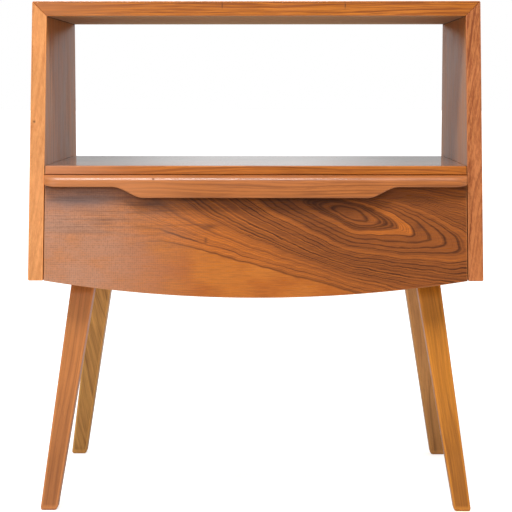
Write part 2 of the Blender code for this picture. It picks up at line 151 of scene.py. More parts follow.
def skin(name, rings, highlit, finish, body, slot, *nodes):
    """A closed surface through rings of points, an array (rings, points, 3), with both ends faced.

    Neighbouring rings are joined by quads in index arithmetic. The arris flags go to the point
    attribute "arris", which the finishes read to paint a highlight along the arrises.
    """
    count, around = rings.shape[:2]
    here = np.arange(around)
    after = np.roll(here, -1)
    lower = np.arange(count - 1)[:, None] * around
    quads = np.stack([lower + here, lower + after, lower + around + after, lower + around + here], -1)
    last = (count - 1) * around
    mesh = bpy.data.meshes.new(name)
    mesh.from_pydata(rings.reshape(-1, 3).tolist(), [],
                     quads.reshape(-1, 4).tolist() + [here[::-1].tolist(), (last + here).tolist()])
    shell = bmesh.new()
    shell.from_mesh(mesh)
    bmesh.ops.recalc_face_normals(shell, faces=shell.faces)
    shell.to_mesh(mesh)
    shell.free()
    mesh.shade_smooth()
    mesh.attributes.new("arris", "FLOAT", "POINT").data.foreach_set(
        "value", np.ascontiguousarray(highlit, np.float32).ravel())
    mesh.materials.append(finish)
    piece = bpy.data.objects.new(name, mesh)
    bpy.context.scene.collection.objects.link(piece)
    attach(piece, body)
    if nodes:
        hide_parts(*nodes)


def board_rings(outline, front, rear, front_arris, rear_arris, hand=1):
    """Rings of a board that runs back from its front plane to its rear plane.

    The outline is a function of the inset, in X and Z. Every ring is that outline at one inset and
    one setback from the front or the rear plane, both following the arris's quarter circle. A hand
    of -1 turns the board into its mirror image.
    """
    rings, highlit = [], []
    for plane, sense, radius in ((front, 1, front_arris), (rear, -1, rear_arris)):
        half, half_highlit = [], []
        for inset, setback, flag in zip(*eased(radius)):
            points, turned = outline(inset)
            x, z = points.T
            half.append(np.stack([hand * x, plane(z) + sense * setback, z], 1))
            half_highlit.append(np.maximum(turned, flag))
        rings += half[::sense]
        highlit += half_highlit[::sense]
    return np.array(rings), np.array(highlit)


def corner_arc(radius):
    """The outer half of a mitred corner, from the side's face to the mitre: an eighth of a circle."""
    angles = np.linspace(0, math.pi / 4, ARC_STEPS)
    return [(OUTER - radius * (1 - math.cos(a)), TOP - radius * (1 - math.sin(a))) for a in angles]


def top_outline(inset):
    """The top seen from the front: a trapezium whose ends are the two mitres."""
    corners = [(-INNER, TOP - BOARD), (INNER, TOP - BOARD)]
    corners += [(OUTER - TOP + z, TOP - OUTER + x) for x, z in corner_arc(CORNER)][::-1]
    corners += [(-x, z) for x, z in corners[:1:-1]]
    arcs = len(corner_arc(CORNER))
    shares = [1, MITRE_SHARE] + [1] * (2 * arcs - 1) + [MITRE_SHARE]
    return rounded(corners, [0] * len(corners), shares, inset)


def tone(red, green, blue):
    """A finish's colour, given as it looks in 0-255 display values, made linear for the shaders."""
    share = np.array([red, green, blue]) / 255
    linear = np.where(share <= 0.04045, share / 12.92, ((share + 0.055) / 1.055) ** 2.4)
    return (*linear.tolist(), 1.0)


def node(tree, kind, inputs=(), **settings):
    """Adds a shader node, sets its options, gives each input a value or a link; returns its outputs."""
    made = tree.nodes.new("ShaderNode" + kind)
    for key, value in settings.items():
        setattr(made, key, value)
    for key, value in dict(inputs).items():
        if isinstance(value, bpy.types.NodeSocket):
            tree.links.new(value, made.inputs[key])
        else:
            made.inputs[key].default_value = value
    return made.outputs


def host(*values):
    """The node tree that the sockets among the values stand in."""
    return next(value.id_data for value in values if isinstance(value, bpy.types.NodeSocket))


def maths(operation, *values):
    return node(host(*values), "Math", enumerate(values), operation=operation)[0]


def plus(*values):
    return maths("ADD", *values)


def minus(*values):
    return maths("SUBTRACT", *values)


def times(*values):
    return maths("MULTIPLY", *values)


def squared(value):
    """The square of a socket or of a plain number."""
    return value ** 2 if isinstance(value, float) else maths("POWER", value, 2)


def step(value, low, high, start=0.0, end=1.0):
    """A smooth step of value from low to high, running from start to end."""
    return node(host(value), "MapRange", {
        "Value": value, "From Min": low, "From Max": high, "To Min": start, "To Max": end},
        interpolation_type="SMOOTHSTEP")[0]


def mixed(factor, first, second, way="MIX"):
    return node(host(factor, first, second), "Mix", {0: factor, 6: first, 7: second},
                data_type="RGBA", blend_type=way)[2]


def stretched(vector, *amounts):
    return node(host(vector), "VectorMath", {0: vector, 1: amounts}, operation="MULTIPLY")[0]


def noise(vector, detail=2.0, rough=0.5, output=0):
    return node(host(vector), "TexNoise", {
        "Vector": vector, "Scale": 1.0, "Detail": detail, "Roughness": rough})[output]


def banded(count, detail):
    """Bands of uneven width: a one-dimensional noise of a running count of rings."""
    return node(host(count), "TexNoise", {
        "W": count, "Scale": 1.0, "Detail": detail, "Roughness": 0.6}, noise_dimensions="1D")[0]


def open_group(name, inputs, outputs):
    """A shader node group with named sockets; returns its tree, its inputs and its outputs."""
    tree = bpy.data.node_groups.new(name, "ShaderNodeTree")
    for way, titles in (("INPUT", inputs), ("OUTPUT", outputs)):
        for title, kind in titles.items():
            tree.interface.new_socket(title, in_out=way, socket_type="NodeSocket" + kind)
    return tree, tree.nodes.new("NodeGroupInput").outputs, tree.nodes.new("NodeGroupOutput").inputs


PITH = (0.09, 0.13)                 # where the pith line lies beside a board, in Y and Z


def make_walnut_grain():
    """Grain of a sawn walnut board whose fibres run along X.

    Growth rings are the distance from a pith line well outside the board, wandering with a slow
    noise, and a one-dimensional noise of that distance gives bands of uneven width. Streaks and
    fibres are noises drawn out along X, pores short dark dashes. Along X a painted tone grows from
    where it starts to where it is full, by its given share: a painted glare that stands in for the
    lamps' reflection in the lacquer, or a darker end on the legs that is painted shade at their feet.
    """
    tree, given, result = open_group(
        "walnut grain",
        {"Place": "Vector", "Pale": "Color", "Deep": "Color", "Vein": "Color", "Bands": "Float",
         "Veining": "Float", "Contrast": "Float", "Shift": "Float", "Painted Light": "Color",
         "Painted Light Start": "Float", "Painted Light Full": "Float", "Painted Light Share": "Float"},
        {"Colour": "Color", "Height": "Float", "Sheen": "Float"})
    moved = node(tree, "VectorMath", {0: given["Place"], 1: given["Shift"]}, operation="ADD")[0]
    wander = node(tree, "VectorMath", {0: noise(stretched(moved, 3, 12, 12), 2, 0.5, 1),
                                       1: (0.5, 0.5, 0.5)}, operation="SUBTRACT")[0]
    bent = node(tree, "VectorMath", {0: wander, 1: (0.0, 0.035, 0.035), 2: moved},
                operation="MULTIPLY_ADD")[0]
    across = node(tree, "SeparateXYZ", {0: bent})
    ring = maths("SQRT", plus(squared(plus(across[1], PITH[0])), squared(plus(across[2], PITH[1]))))
    bands = banded(times(ring, given["Bands"]), 3.0)
    streaks = noise(stretched(bent, 8, 450, 450), 3, 0.65)
    fibres = noise(stretched(moved, 26, 1300, 1300), 2, 0.5)
    pores = step(noise(stretched(moved, 150, 2600, 2600), 1), 0.64, 0.76)
    mottle = noise(stretched(moved, 16, 26, 26), 2)
    body = plus(times(bands, 0.32), plus(times(streaks, 0.46), times(fibres, 0.22)))
    spread = times(minus(body, 0.5), given["Contrast"])
    share = plus(spread, 0.5)
    colour = mixed(step(share, 0.0, 1.0), given["Pale"], given["Deep"])
    vein = step(plus(times(bands, 0.7), times(streaks, 0.3)), 0.56, 0.70)
    vein = times(vein, given["Veining"])
    colour = mixed(vein, colour, given["Vein"])
    colour = mixed(times(pores, 0.35), colour, given["Vein"])
    light = node(tree, "CombineColor", {
        i: step(mottle, 0.2, 0.8, 1 - sway, 1 + sway) for i, sway in enumerate((0.10, 0.11, 0.14))})[0]
    colour = mixed(1.0, colour, light, "MULTIPLY")
    # Painted light: a pale painted glare on the edgings and the pull, a darker painted end on the legs.
    painted_light = step(node(tree, "SeparateXYZ", {0: given["Place"]})[0], given["Painted Light Start"],
                 given["Painted Light Full"], 0.0, given["Painted Light Share"])
    tree.links.new(mixed(painted_light, colour, given["Painted Light"]), result["Colour"])
    tree.links.new(minus(times(fibres, 0.5), times(pores, 0.6)), result["Height"])
    tree.links.new(step(plus(times(fibres, 0.6), times(mottle, 0.4)), 0.3, 0.7), result["Sheen"])
    return tree


def make_painted_highlight():
    """Paler arrises: brighter than Pale, by Share, wherever the "arris" flag is 1, a painted highlight
    for the light that rounded edges catch.
    """
    tree, given, result = open_group(
        "painted arris highlight", {"Colour": "Color", "Pale": "Color", "Share": "Float"}, {"Colour": "Color"})
    bright = mixed(1.0, given["Pale"], (1.25, 1.25, 1.3, 1.0), "MULTIPLY")
    flag = node(tree, "Attribute", attribute_name="arris")["Fac"]
    tree.links.new(mixed(times(flag, given["Share"]), given["Colour"], bright), result["Colour"])
    return tree


walnut_grain = make_walnut_grain()
highlight_group = make_painted_highlight()


def open_finish(name):
    """A new node material; returns it with its tree and its Principled shader's inputs."""
    made = bpy.data.materials.new(name)
    made.use_nodes = True
    return made, made.node_tree, made.node_tree.nodes["Principled BSDF"].inputs


def grain_place(tree, axis):
    """Object coordinates turned so that the direction axis becomes X."""
    turn = Vector(axis).normalized().rotation_difference(Vector((1, 0, 0))).to_euler()
    return node(tree, "Mapping", {"Vector": node(tree, "TexCoord")["Object"], "Rotation": turn})[0]


def make_soft_spot():
    """A soft ellipse in X and Z: e to the minus squared distance, in its own half width and height."""
    tree, given, result = open_group(
        "soft spot", {"At X": "Float", "At Z": "Float", "Half Width": "Float", "Half Height": "Float"},
        {"Mask": "Float"})
    x, _, z = node(tree, "SeparateXYZ", {0: node(tree, "TexCoord")["Object"]})
    run = maths("DIVIDE", minus(x, given["At X"]), given["Half Width"])
    rise = maths("DIVIDE", minus(z, given["At Z"]), given["Half Height"])
    squares = plus(squared(run), squared(rise))
    tree.links.new(maths("EXPONENT", times(squares, -1.0)), result["Mask"])
    return tree


spot_group = make_soft_spot()


def soft_spot(tree, at_x, at_z, wide, tall):
    return node(tree, "Group", {"At X": at_x, "At Z": at_z, "Half Width": wide, "Half Height": tall},
                node_tree=spot_group)["Mask"]


UNSTAINED = tone(206, 166, 112)     # walnut with little stain, on faces that nobody sees from above
DENT_AND_SHADE_TONE = tone(62, 34, 20)       # dark tone of dents, and of the painted shade along inside corners
GRAIN_RELIEF = 0.00008              # depth of the open grain in the lacquer
LACQUER_GLOSS = 0.42                # specular level of the satin lacquer
COAT_ROUGH = 0.10                   # roughness of the polish over it
DULL = 0.85                         # roughness of thin lacquer and old polish
NO_END_TINT = ((0, 0, 0), 0.0, 1.0, 0.0)


def surfaced(tree, shader, colour, roughness, height, strength, relief=GRAIN_RELIEF):
    """Links a wood's colour, its roughness and, through a bump, its relief to the shader."""
    tree.links.new(colour, shader["Base Color"])
    tree.links.new(roughness, shader["Roughness"])
    bump = node(tree, "Bump", {"Strength": strength, "Distance": relief, "Height": height})[0]
    tree.links.new(bump, shader["Normal"])


def walnut(name, axis, pale, deep, vein, shift=0.0, bands=240.0, veining=0.5, contrast=4.0,
           rough=(0.30, 0.42), coat=0.0, painted_end_tint=NO_END_TINT, matt_below=False, dents_and_shade_lines=(), highlight_share=0.4):
    """Lacquered walnut with its grain along axis, its colours given as tone takes them.

    rough is its roughness where the grain is smooth and where it is open, coat the weight of the
    polish. The tint towards one end is a colour with where along the grain it starts, where it is
    full, and its share there: a painted glare that stands in for the lamps' reflection in the
    lacquer, or a darker end on the legs that is painted shade at their feet. matt_below leaves
    faces that look down with a thin, dull coat. The dark marks are dents, and painted shade along
    the inside corners where boards meet, each given by its X, Z, half width and half height. The
    last argument is how much paler the arrises are painted: a painted highlight.
    """
    made, tree, shader = open_finish(name)
    # The tone towards one end is painted light: glare on the edgings and the pull, shade at the legs'
    # feet.
    pale, deep, vein, painted_tone = (tone(*shade) for shade in (pale, deep, vein, painted_end_tint[0]))
    start, full, share = painted_end_tint[1:]
    grain = node(tree, "Group", {
        "Place": grain_place(tree, axis), "Pale": pale, "Deep": deep, "Vein": vein, "Bands": bands,
        "Veining": veining, "Contrast": contrast, "Shift": shift, "Painted Light": painted_tone, "Painted Light Start": start,
        "Painted Light Full": full, "Painted Light Share": share}, node_tree=walnut_grain)
    # Painted highlight: the arrises are painted paler.
    colour = node(tree, "Group", {"Colour": grain["Colour"], "Pale": pale, "Share": highlight_share},
                  node_tree=highlight_group)["Colour"]
    roughness = step(grain["Sheen"], 0.0, 1.0, *rough)
    shader["Coat Weight"].default_value = coat
    shader["Coat Roughness"].default_value = COAT_ROUGH
    if dents_and_shade_lines:
        dent_and_shade_mask = 0.0
        for pit in dents_and_shade_lines:
            dent_and_shade_mask = maths("MAXIMUM", dent_and_shade_mask, soft_spot(tree, *pit))
        colour = mixed(times(dent_and_shade_mask, 0.85), colour, DENT_AND_SHADE_TONE)
        roughness = step(dent_and_shade_mask, 0.0, 0.8, roughness, DULL)
        if coat:
            tree.links.new(step(dent_and_shade_mask, 0.0, 0.8, coat, 0.0), shader["Coat Weight"])
    shader["Specular IOR Level"].default_value = LACQUER_GLOSS
    if matt_below:
        normal = node(tree, "NewGeometry")["True Normal"]
        below = step(node(tree, "SeparateXYZ", {0: normal})[2], -0.5, -0.9)
        colour = mixed(times(below, 0.7), colour, UNSTAINED)
        roughness = step(below, 0.0, 1.0, roughness, DULL)
    surfaced(tree, shader, colour, roughness, grain["Height"], 0.6)
    return made


# The marks on the top are painted shade along the inside corners where it meets the sides.
top_wood = walnut("top walnut", ACROSS, (206, 132, 64), (162, 94, 44), (104, 56, 28),
                  shift=0.31, veining=0.6, matt_below=True,
                  dents_and_shade_lines=[(hand * INNER, TOP - BOARD, CORNER_SHADE_HALF, CORNER_SHADE_REACH) for hand in (-1, 1)])
skin("top_board", *board_rings(top_outline, leaning(LIPPING), upright(REAR), HAIR, ARRIS), top_wood,
     "case", "case_walnut", "top_panel")


# ---- Side boards ---------------------------------------------------------
# Two solid walnut boards, grain upright, mitred into the top. Grooves, housings and dowel holes
# on their inner faces take the shelf, the bottom and the back panel.
FOOT_CORNER = 0.0016                # outer lower corner of each side, worn rounder than the rest


def side_outline(inset):
    """The right-hand side seen from the front: upright, square at the foot, mitred at the head."""
    corners = [(INNER, FOOT), (OUTER, FOOT), *corner_arc(CORNER), (INNER, TOP - BOARD)]
    corners = [(x, z - JOINT * (z > TOP - 2 * BOARD)) for x, z in corners]
    radii = [ARRIS, FOOT_CORNER] + [0] * (len(corners) - 2)
    shares = [1] * (len(corners) - 2) + [MITRE_SHARE, 1]
    return rounded(corners, radii, shares, inset)


side_tones = ((220, 146, 78), (176, 108, 54), (116, 66, 36))
for hand, place in ((-1, "left"), (1, "right")):
    # The mark on each side is painted shade along the inside corner under the top.
    wood = walnut(f"side walnut {place}", UP, *side_tones, shift=0.47 + 0.2 * hand, veining=0.4,
                  contrast=2.6, dents_and_shade_lines=[(hand * INNER, TOP - BOARD, CORNER_SHADE_REACH, CORNER_SHADE_HALF)])
    skin(f"side_board_{place}",
         *board_rings(side_outline, leaning(LIPPING), upright(REAR), HAIR, ARRIS, hand), wood,
         "case", "case_walnut", f"side_panel_{place}")


# ---- Edgings -------------------------------------------------------------
# Solid walnut strips glued on the front of the top and the sides, mitred with them, then planed
# flush. They are cut from paler wood than the boards, each with a run of grain of its own.
EDGE_ARRIS = 0.0009                 # their outer arrises are taken off a little more

# Towards the left the edging carries a painted glare, standing in for the lamps' reflection in its
# lacquer.
top_edge = walnut("top edging walnut", ACROSS, (218, 128, 40), (158, 82, 20), (106, 50, 16),
                  shift=0.13, bands=420, veining=0.5, contrast=5.5, coat=0.25,
                  painted_end_tint=((196, 122, 74), -0.08, -0.25, 0.55),
                  dents_and_shade_lines=((-0.0376, 0.561, 0.0006, 0.003), (0.0995, 0.561, 0.0006, 0.003)))
skin("top_edging", *board_rings(top_outline, leaning(0), leaning(LIPPING - JOINT), EDGE_ARRIS, HAIR),
     top_edge, "case", "edge_walnut", "top_lipping")
left_edge = walnut("left edging walnut", UP, (246, 168, 100), (222, 140, 76), (180, 102, 52),
                   shift=0.71, bands=300, veining=0.15, contrast=3.0,
                   dents_and_shade_lines=((-0.2455, 0.4325, 0.0013, 0.0013),))
right_edge = walnut("right edging walnut", UP, (206, 126, 72), (162, 86, 44), (112, 56, 30),
                    shift=0.93, bands=420, veining=0.5, contrast=5.5)
for hand, place, wood in ((-1, "left", left_edge), (1, "right", right_edge)):
    skin(f"side_edging_{place}",
         *board_rings(side_outline, leaning(0), leaning(LIPPING - JOINT), EDGE_ARRIS, HAIR, hand),
         wood, "case", "edge_walnut", f"side_lipping_{place}")


# ---- Shelf ---------------------------------------------------------------
# The compartment's floor: a thin walnut board polished to a gloss, edged like the case and held
# by dowels between the sides. Its edging is rounded at the upper right corner.
shelf_low, shelf_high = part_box("shelf")
SHELF_CORNER = 0.0025               # the edging's upper right corner, worn round


def oblong(left, low, right, high):
    return [(left, low), (right, low), (right, high), (left, high)]


def shelf_outline(inset, upper_right=ARRIS):
    """The shelf seen from the front."""
    corners = oblong(shelf_low.x, shelf_low.z, shelf_high.x, shelf_high.z)
    return rounded(corners, [ARRIS, ARRIS, upper_right, ARRIS], [1] * 4, inset)


def strip_outline(inset):
    """The shelf's edging seen from the front."""
    return shelf_outline(inset, SHELF_CORNER)


# Painted shade along the inside corners where the shelf meets the sides.
shelf_corner_shade = [(x, shelf_high.z, CORNER_SHADE_HALF, BOARD) for x in (shelf_low.x, shelf_high.x)]
shelf_wood = walnut("shelf walnut", ACROSS, (168, 112, 78), (128, 80, 54), (86, 52, 34),
                    shift=0.57, veining=0.5, rough=(0.10, 0.16), coat=0.6, dents_and_shade_lines=shelf_corner_shade)
skin("shelf_board", *board_rings(shelf_outline, leaning(LIPPING), upright(shelf_high.y), HAIR, ARRIS),
     shelf_wood, "case", "case_walnut", "shelf")
# Towards the left the shelf edging carries a painted glare, standing in for the lamps' reflection in
# its lacquer.
shelf_edge = walnut("shelf edging walnut", ACROSS, (204, 118, 40), (152, 78, 20), (100, 48, 16),
                    shift=0.37, bands=420, veining=0.5, contrast=5.0,
                    painted_end_tint=((214, 152, 118), -0.10, -0.23, 0.7), dents_and_shade_lines=shelf_corner_shade)
skin("shelf_edging", *board_rings(strip_outline, leaning(0), leaning(LIPPING - JOINT), ARRIS, HAIR),
     shelf_edge, "case", "edge_walnut", "shelf_lipping")


# ---- Legs ----------------------------------------------------------------
# Four walnut legs, sawn square, tapered to the foot and splayed both ways, with rounded arrises.
# Each is doweled and screwed up into a beech bearer under the drawer bay.
LEG_CORNER = 0.0022                 # rounding of the four long arrises
SOLE = 0.0025                       # the frame's leg is at its full foot size from this height up
FOOT_ROUND = 0.0036                 # rounding of the arris round the sole
FOOT_STEPS = 6
LEG_STATIONS = 12
LEVEL = 1e-5                        # corners of the frame's leg this close in height are level


def leg_rings(node_name):
    """Level square sections with turned corners, growing evenly from the floor to the bearer.

    The section's middle and half side run on straight lines from the foot to the head, read off
    the frame's box; the lowest rings are drawn in by r(1 - sin a) at height r(1 - cos a).
    """
    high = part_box(node_name)[1]
    co = np.array([v.co for v in bpy.data.objects[node_name].data.vertices])
    head = co[co[:, 2] > high.z - LEVEL]
    sole = co[co[:, 2] < SOLE + LEVEL]
    head_mid, head_size = (head.min(0) + head.max(0)) / 2, np.ptp(head[:, 0])
    sole_mid, sole_size = (sole.min(0) + sole.max(0)) / 2, np.ptp(sole[:, 0])
    angles = np.linspace(0, math.pi / 2, FOOT_STEPS)
    insets = [FOOT_ROUND + MARGIN, *(FOOT_ROUND * (1 - np.sin(angles)))] + [0] * LEG_STATIONS
    heights = [0, *(FOOT_ROUND * (1 - np.cos(angles)))]
    heights += np.linspace(2 * FOOT_ROUND, high.z, LEG_STATIONS).tolist()
    rings, highlit = [], []
    for inset, height in zip(insets, heights):
        share = height / high.z
        half = (sole_size + (head_size - sole_size) * share) / 2
        middle = sole_mid + (head_mid - sole_mid) * share
        points, turned = rounded(oblong(-half, -half, half, half), [LEG_CORNER] * 4, [1] * 4, inset)
        rings.append(np.column_stack([points + middle[:2], np.full(len(points), height)]))
        highlit.append(np.maximum(turned, float(0 < height <= FOOT_ROUND)))
    return np.array(rings), np.array(highlit), head_mid - sole_mid


# pale, deep and vein tones, how far the grain is skewed from the leg's own line, its contrast, and
# the heights between which the leg darkens, with how far. Each leg has its own wood, but the tones
# are also made paler, the rear legs' most, as painted light where the case shades them, and the
# darker feet are painted shade.
leg_finishes = {
    "front_left": ((220, 140, 76), (184, 112, 60), (122, 68, 38), 0.0, 1.8, (0.13, -0.03, 0.35)),
    "front_right": ((230, 146, 48), (184, 110, 34), (122, 68, 24), 0.0, 2.6, (0.13, -0.03, 0.35)),
    "rear_left": ((236, 174, 90), (184, 124, 60), (124, 78, 38), -0.30, 2.6, (0.13, -0.03, 0.30)),
    "rear_right": ((240, 174, 100), (204, 138, 78), (120, 72, 40), 0.0, 2.4, (0.06, 0.22, 0.35)),
}
for i, (place, (pale, deep, vein, skew, contrast, darkening)) in enumerate(leg_finishes.items()):
    rings, highlit, axis = leg_rings("leg_" + place)
    along = Vector(axis).normalized() + Vector((skew, 0, 0))
    wood = walnut("leg walnut " + place.replace("_", " "), along, pale, deep, vein,
                  shift=0.17 + 0.23 * i, bands=300, veining=0.3, contrast=contrast,
                  painted_end_tint=(vein, *darkening), highlight_share=0.5)
    skin("tapered_leg_" + place, rings, highlit, wood, "case", "leg_walnut", "leg_" + place)


# ---- Drawer front --------------------------------------------------------
# One piece of figured walnut, sawn through a swirl of the grain. Its lower edge is a long shallow
# arc that hangs below the sides; it sits inside the case with a fine gap at the sides and above.
front_low, front_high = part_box("drawer_front")
pull_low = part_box("drawer_pull")[0]
FRONT_X = front_high.x
FRONT_TOP = front_high.z
BELLY = FOOT - front_low.z          # drop of the arc in the middle
FRONT_BACK = 0.016                  # thickness
FRONT_STATIONS = 64


def front_edge(x):
    """Height of the lower edge: a circular arc through the sides' feet, lowest in the middle."""
    radius = (FRONT_X ** 2 + BELLY ** 2) / (2 * BELLY)
    return front_low.z + radius - np.sqrt(radius ** 2 - x ** 2)


def along_stations(count, arris):
    """Places along X from one end face to the other, with how far each section is drawn in."""
    insets, setbacks, flags = eased(arris)
    inside = np.linspace(-1, 1, count)[1:-1] * (FRONT_X - 2 * arris - MARGIN)
    return (np.concatenate([setbacks - FRONT_X, inside, (FRONT_X - setbacks)[::-1]]),
            np.concatenate([insets, np.zeros(count - 2), insets[::-1]]),
            np.concatenate([flags, np.zeros(count - 2), flags[::-1]]))


def front_rings():
    """Sections across the drawer front, from its left end to its right, under one straight top edge."""
    rings, highlit = [], []
    for x, inset, flag in zip(*along_stations(FRONT_STATIONS, ARRIS)):
        low = front_edge(x)
        section = oblong(0, low, FRONT_BACK, FRONT_TOP)
        points, turned = rounded(section, [ARRIS] * 4, [1] * 4, inset)
        depth, z = points.T
        rings.append(np.stack([np.full_like(z, x), front_y(z) + depth, z], 1))
        highlit.append(np.maximum(turned, flag))
    return np.array(rings), np.array(highlit)


PULL_HEIGHT = 0.0122                # height of the pull towards its ends
PULL_SWELL = FRONT_TOP - PULL_HEIGHT - pull_low.z  # how much deeper it is in the middle
PULL_INNER = 0.123                  # the pull is deep as far as here on each side
PULL_OUTER = 0.157                  # and shallow from here on
EYE_X = 0.104                       # middle of the swirl
RIDGE = 0.3932                      # sets the height of the line that the swirl's tips lie on
RIDGE_FALL = 0.28                   # how steeply that line falls
ARCH_X = -0.115                     # where it turns over in an arch
ARCH_ROUND = 0.03                   # how gently it turns over


def figured_field(tree, place):
    """Growth rings counted outward from the swirl's eye, as one smooth field over X and Z.

    A ridge falls to the right from an arch on the left; height is measured from it. Below it the
    count grows like a hyperbola, above it like a parabola that opens to the right. Along it the
    count grows evenly to the right, so the rings close there in rounded tips, and also to the
    left, less so the deeper the wood lies, so that the lines fan out under the pull.
    """
    wobble = noise(stretched(place, 26, 26, 40), 2)
    quiver = noise(stretched(place, 110, 110, 170), 2)
    x, _, z = node(tree, "SeparateXYZ", {0: place})
    arch = maths("SQRT", plus(squared(minus(x, ARCH_X)), ARCH_ROUND ** 2))
    height = maths("MULTIPLY_ADD", arch, RIDGE_FALL, minus(z, RIDGE))
    height = maths("MULTIPLY_ADD", minus(wobble, 0.5), 0.0080, height)
    height = maths("MULTIPLY_ADD", minus(quiver, 0.5), 0.0016, height)
    below = maths("MAXIMUM", times(height, -1.0), 0.0)
    above = maths("MAXIMUM", height, 0.0)
    right = maths("MAXIMUM", minus(x, EYE_X), 0.0)
    left = maths("MAXIMUM", minus(EYE_X, x), 0.0)

    def bowl(run, roundness):
        """The distance run with its start rounded off: the upper half of a hyperbola."""
        return minus(maths("SQRT", plus(squared(run), squared(roundness))), roundness)

    def fading(run, full):
        """1 where the run starts, 0 from full on."""
        return maths("MAXIMUM", minus(1.0, maths("DIVIDE", run, full)), 0.0)

    spread = maths("MULTIPLY_ADD", right, 8.0, 1.0)
    roundness = times(squared(spread), 0.0022)
    low = times(bowl(below, roundness), 283.0)
    high = squared(maths("DIVIDE", above, times(spread, 0.0072)))
    run_right = times(bowl(right, 0.012), times(fading(below, 0.11), 82.0))
    run_left = times(bowl(left, 0.015), times(fading(below, 0.08), 88.0))
    field = plus(plus(low, high), plus(run_right, run_left))
    return x, z, height, field


# How light each ring is, counted from the eye: thin dark late wood between paler bands, with one
# broad bright band that wraps the swirl.
EYE_RINGS = ((0.0, 0.55), (0.55, 0.46), (0.85, 0.08), (1.05, 0.50), (1.5, 0.62), (1.85, 0.14),
             (2.1, 0.40), (2.45, 0.05), (2.7, 0.42), (2.95, 0.12), (3.15, 0.45), (3.35, 0.22),
             (3.55, 0.76), (4.65, 0.80), (4.85, 0.10), (5.05, 0.46), (5.6, 0.52), (6.0, 0.40),
             (6.25, 0.10), (6.5, 0.52), (7.3, 0.56), (7.6, 0.06), (7.85, 0.48), (8.6, 0.50),
             (8.8, 0.05), (9.1, 0.44), (9.8, 0.5))
STRONG_RING = 16.2                  # one ring that shows as a strong dark line on the left
LAST_RING = 22.9                    # count at which the ringed wood ends in one crisp line
THREADS = 2 * math.pi / 0.0023      # cloth marks, pressed into the lacquer every 2.3 mm
EYE_COUNT = 10.0                    # rings that EYE_RINGS speaks for
PULL_SHADOW_REACH = 0.0050                    # how far down from the pull the painted shadow under it reaches
LATE_WOOD = tone(84, 44, 22)
BLACK = (0.0, 0.0, 0.0, 1.0)


